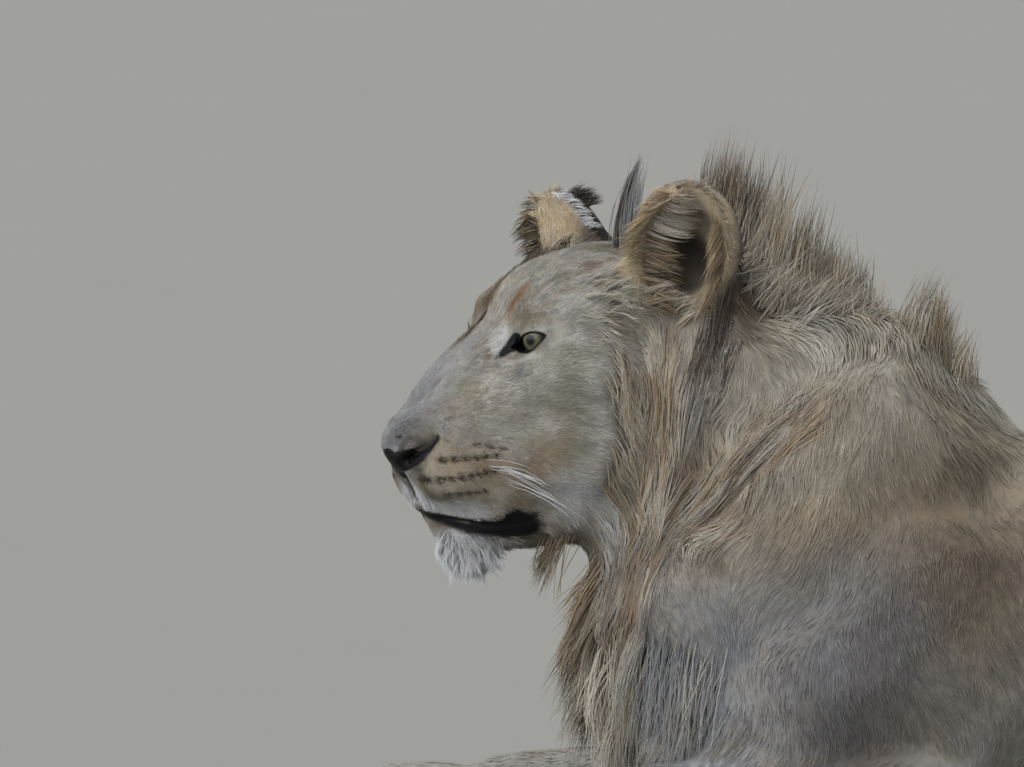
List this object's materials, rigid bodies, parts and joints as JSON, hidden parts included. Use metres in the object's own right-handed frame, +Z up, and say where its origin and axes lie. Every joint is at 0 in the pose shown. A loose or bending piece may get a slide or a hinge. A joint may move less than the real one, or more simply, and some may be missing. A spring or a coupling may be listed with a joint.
{
  "type": "lion",
  "caption": "Young male lion lying on its chest with its head raised and turned to its left, built as a still life-size model.",
  "frame": {"origin": "centre of the lion's footprint, on the floor", "axes": "+Z up, the lion faces -X, its left side is towards -Y, its tail lies to its left"},
  "size_m": [1.6, 0.68, 0.6242],
  "materials": {
    "coat": "short dry hair",
    "mane": "long coarse hair",
    "muzzle": "very short soft hair",
    "paw": "short dense hair",
    "tuft": "long dark hair",
    "nose": "damp fine-grained bare skin",
    "eye": "clear wet gloss"
  },
  "bodies": {
    "root": {"belly": "coat", "chest": "coat", "head": "coat", "left_ear": "coat", "left_eye": "eye", "left_forearm": "coat", "left_forepaw": "paw", "left_hind_foot": "paw", "left_shank": "coat", "left_shoulder": "coat", "left_thigh": "coat", "lower_jaw": "muzzle", "neck": "mane", "nose": "nose", "right_ear": "coat", "right_eye": "eye", "right_forearm": "coat", "right_forepaw": "paw", "right_hind_foot": "paw", "right_shank": "coat", "right_shoulder": "coat", "right_thigh": "coat", "rump": "coat", "tail_base": "coat", "tail_end": "coat", "tail_middle": "coat", "tail_tuft": "tuft"}
  },
  "joints": []
}
